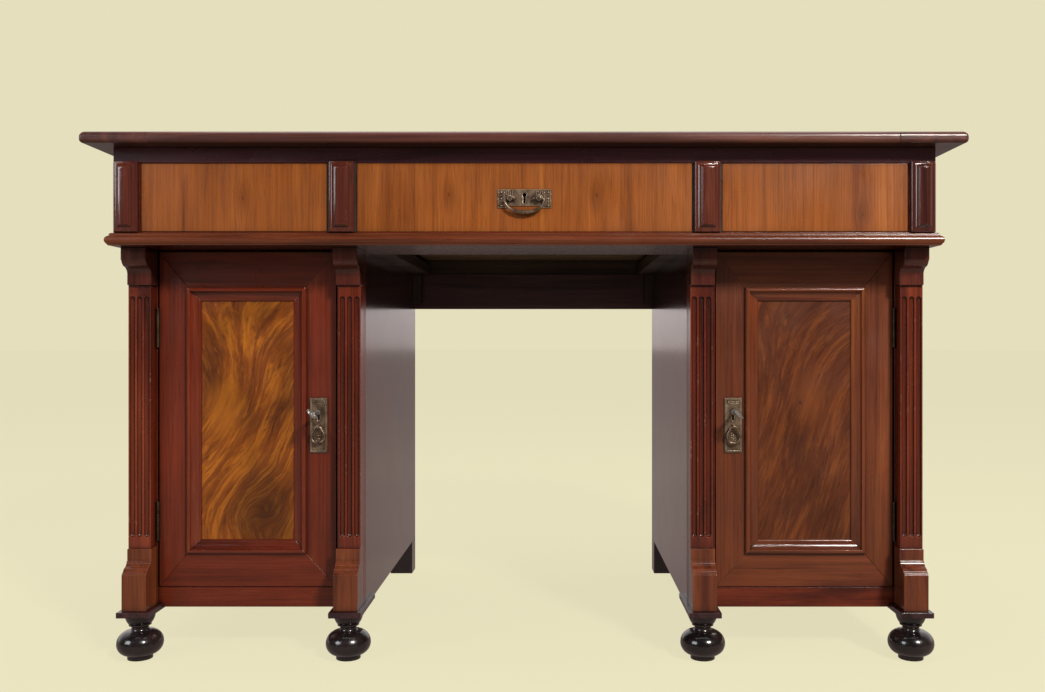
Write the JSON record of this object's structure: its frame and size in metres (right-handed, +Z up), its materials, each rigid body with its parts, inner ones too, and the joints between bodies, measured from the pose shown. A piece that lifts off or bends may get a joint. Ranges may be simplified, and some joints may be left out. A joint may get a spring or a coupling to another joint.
{
  "type": "kneehole writing desk",
  "caption": "Kneehole writing desk with panelled cupboard doors, frieze drawers, fluted pilasters, turned front feet and an overhanging top.",
  "frame": {"origin": "on the floor under the middle of the desk top", "axes": "+X to the sitter's right, -Y towards the sitter, +Z up"},
  "size_m": [1.286, 0.69, 0.788],
  "materials": {
    "mahogany": "dark french polished mahogany",
    "walnut_front": "french polished walnut veneer",
    "figured_panel": "french polished figured walnut veneer",
    "ebonised_wood": "ebonised and polished",
    "inside_wood": "plain unpolished softwood",
    "aged_brass": "aged brass",
    "steel": "dulled steel"
  },
  "bodies": {
    "carcass": {"apron_glue_blocks": "inside_wood", "bun_feet": "ebonised_wood", "cupboard_floors": "inside_wood", "cupboard_shelves": "inside_wood", "drawer_kickers": "inside_wood", "drawer_runners": "inside_wood", "foot_plates": "mahogany", "frieze_back": "inside_wood", "frieze_bottom_rail": "mahogany", "frieze_ends": "mahogany", "frieze_partitions": "inside_wood", "frieze_tablets": "mahogany", "frieze_top_rail": "mahogany", "front_stiles": "mahogany", "hinge_fixed_leaves": "aged_brass", "kneehole_apron": "mahogany", "left_pedestal_sides": "mahogany", "pedestal_backs": "inside_wood", "pedestal_tops": "inside_wood", "pilaster_capitals": "mahogany", "pilaster_shafts": "mahogany", "plinth_blocks": "mahogany", "plinth_rails": "mahogany", "rear_feet": "ebonised_wood", "right_pedestal_sides": "mahogany", "shelf_pins": "steel", "top_end_clamps": "mahogany", "top_panel": "mahogany", "waist_moulding": "mahogany"},
    "left_door": {"left_door_frame": "mahogany", "left_door_moulding": "mahogany", "left_door_panel": "figured_panel", "left_door_hinge_leaves": "aged_brass", "left_escutcheon": "aged_brass", "left_lock_case": "steel"},
    "right_door": {"right_door_frame": "mahogany", "right_door_moulding": "mahogany", "right_door_panel": "figured_panel", "right_door_hinge_leaves": "aged_brass", "right_escutcheon": "aged_brass", "right_lock_case": "steel"},
    "left_ring": {"left_ring_pull": "aged_brass"},
    "right_ring": {"right_ring_pull": "aged_brass"},
    "left_door_key": {"left_key": "steel"},
    "right_door_key": {"right_key": "steel"},
    "left_bolt": {"left_lock_bolt": "steel"},
    "right_bolt": {"right_lock_bolt": "steel"},
    "left_drawer": {"left_drawer_front": "walnut_front", "left_drawer_sides_and_back": "inside_wood", "left_drawer_bottom": "inside_wood"},
    "right_drawer": {"right_drawer_front": "walnut_front", "right_drawer_sides_and_back": "inside_wood", "right_drawer_bottom": "inside_wood"},
    "centre_drawer": {"centre_drawer_front": "walnut_front", "centre_drawer_sides_and_back": "inside_wood", "centre_drawer_bottom": "inside_wood", "drawer_handle_plate": "aged_brass", "drawer_lock_case": "steel"},
    "bail": {"bail_handle": "aged_brass"},
    "drawer_bolt": {"drawer_lock_bolt": "steel"}
  },
  "joints": [
    {"name": "left_door_hinge", "type": "hinge", "parent": "carcass", "child": "left_door", "pos_m": [-0.571, -0.2375, 0.363], "axis": [0, 0, -1], "range_deg": [0, 90]},
    {"name": "left_ring_swing", "type": "hinge", "parent": "left_door", "child": "left_ring", "pos_m": [-0.3215, -0.242, 0.352], "axis": [-1, 0, 0], "range_deg": [0, 80]},
    {"name": "left_key_turn", "type": "hinge", "parent": "left_door", "child": "left_door_key", "pos_m": [-0.3215, -0.235, 0.374], "axis": [0, 1, 0], "range_deg": [0, 90]},
    {"name": "left_bolt_slide", "type": "slide", "parent": "left_door", "child": "left_bolt", "axis": [1, 0, 0], "range_m": [0, 0.0081]},
    {"name": "left_drawer_slide", "type": "slide", "parent": "carcass", "child": "left_drawer", "axis": [0, -1, 0], "range_m": [0, 0.42]},
    {"name": "right_door_hinge", "type": "hinge", "parent": "carcass", "child": "right_door", "pos_m": [0.571, -0.2375, 0.363], "axis": [0, 0, 1], "range_deg": [0, 90]},
    {"name": "right_ring_swing", "type": "hinge", "parent": "right_door", "child": "right_ring", "pos_m": [0.3215, -0.242, 0.352], "axis": [-1, 0, 0], "range_deg": [0, 80]},
    {"name": "right_key_turn", "type": "hinge", "parent": "right_door", "child": "right_door_key", "pos_m": [0.3215, -0.235, 0.374], "axis": [0, -1, 0], "range_deg": [0, 90]},
    {"name": "right_bolt_slide", "type": "slide", "parent": "right_door", "child": "right_bolt", "axis": [-1, 0, 0], "range_m": [0, 0.0081]},
    {"name": "right_drawer_slide", "type": "slide", "parent": "carcass", "child": "right_drawer", "axis": [0, -1, 0], "range_m": [0, 0.42]},
    {"name": "centre_drawer_slide", "type": "slide", "parent": "carcass", "child": "centre_drawer", "axis": [0, -1, 0], "range_m": [0, 0.42]},
    {"name": "bail_swing", "type": "hinge", "parent": "centre_drawer", "child": "bail", "pos_m": [0, -0.3147, 0.6945], "axis": [-1, 0, 0], "range_deg": [0, 85]},
    {"name": "drawer_bolt_slide", "type": "slide", "parent": "centre_drawer", "child": "drawer_bolt", "axis": [0, 0, 1], "range_m": [0, 0.008]}
  ],
  "couplings": [
    {"joint": "left_bolt_slide", "follows": "left_key_turn", "m_per_rad": 0.005093},
    {"joint": "right_bolt_slide", "follows": "right_key_turn", "m_per_rad": 0.005093}
  ]
}
